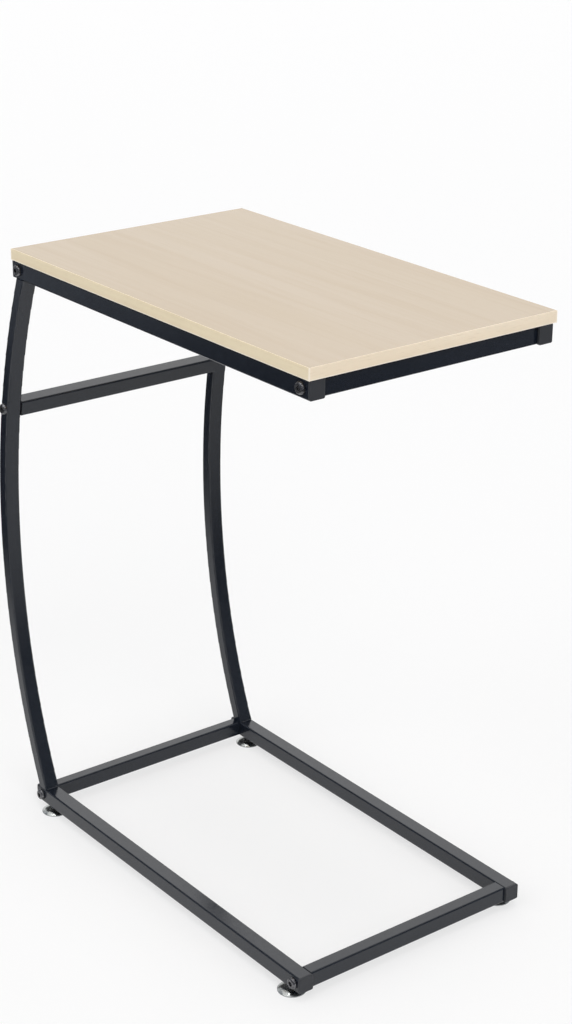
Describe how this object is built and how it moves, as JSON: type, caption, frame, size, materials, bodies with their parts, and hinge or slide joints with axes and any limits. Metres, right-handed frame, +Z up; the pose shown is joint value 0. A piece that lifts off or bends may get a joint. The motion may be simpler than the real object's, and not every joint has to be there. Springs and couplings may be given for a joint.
{
  "type": "side_table",
  "caption": "C shaped side table: a pale oak laminated board on a black steel tube frame whose legs bow to the rear, with bright domed levelling feet.",
  "frame": {"origin": "on the floor, under the middle of the whole table", "axes": "+Z up, +X to the open front of the C, +Y across the table to its far side"},
  "size_m": [0.6076, 0.336, 0.722],
  "materials": {
    "oak_laminate": "pale oak laminate, satin",
    "oak_edge": "oak edge band, satin",
    "black_coat": "black powder coat, semi-gloss",
    "black_plastic": "moulded black plastic",
    "dark_steel": "black oxide steel",
    "zinc_steel": "zinc plated steel",
    "chrome_disc": "bright plated"
  },
  "bodies": {
    "root": {"top_panel": "oak_laminate", "near_edge_band": "oak_edge", "far_edge_band": "oak_edge", "front_edge_band": "oak_edge", "rear_edge_band": "oak_edge", "near_top_rail": "black_coat", "near_base_rail": "black_coat", "near_leg": "black_coat", "far_top_rail": "black_coat", "far_base_rail": "black_coat", "far_leg": "black_coat", "top_front_crossbar": "black_coat", "top_rear_crossbar": "black_coat", "mid_crossbar": "black_coat", "base_front_crossbar": "black_coat", "base_rear_crossbar": "black_coat", "near_top_front_plug": "black_plastic", "near_top_rear_plug": "black_plastic", "near_base_front_plug": "black_plastic", "near_base_rear_plug": "black_plastic", "near_frame_bolts": "dark_steel", "near_nut_plates": "zinc_steel", "far_top_front_plug": "black_plastic", "far_top_rear_plug": "black_plastic", "far_base_front_plug": "black_plastic", "far_base_rear_plug": "black_plastic", "far_frame_bolts": "dark_steel", "far_nut_plates": "zinc_steel", "panel_screws": "zinc_steel", "foot_rivet_nuts": "zinc_steel"},
    "near_front_foot": {"near_front_foot_disc": "chrome_disc", "near_front_foot_stud": "dark_steel"},
    "near_rear_foot": {"near_rear_foot_disc": "chrome_disc", "near_rear_foot_stud": "dark_steel"},
    "far_front_foot": {"far_front_foot_disc": "chrome_disc", "far_front_foot_stud": "dark_steel"},
    "far_rear_foot": {"far_rear_foot_disc": "chrome_disc", "far_rear_foot_stud": "dark_steel"}
  },
  "joints": [
    {"name": "near_front_foot_screw", "type": "slide", "parent": "root", "child": "near_front_foot", "axis": [0, 0, -1], "range_m": [0, 0.008]},
    {"name": "near_rear_foot_screw", "type": "slide", "parent": "root", "child": "near_rear_foot", "axis": [0, 0, -1], "range_m": [0, 0.008]},
    {"name": "far_front_foot_screw", "type": "slide", "parent": "root", "child": "far_front_foot", "axis": [0, 0, -1], "range_m": [0, 0.008]},
    {"name": "far_rear_foot_screw", "type": "slide", "parent": "root", "child": "far_rear_foot", "axis": [0, 0, -1], "range_m": [0, 0.008]}
  ]
}
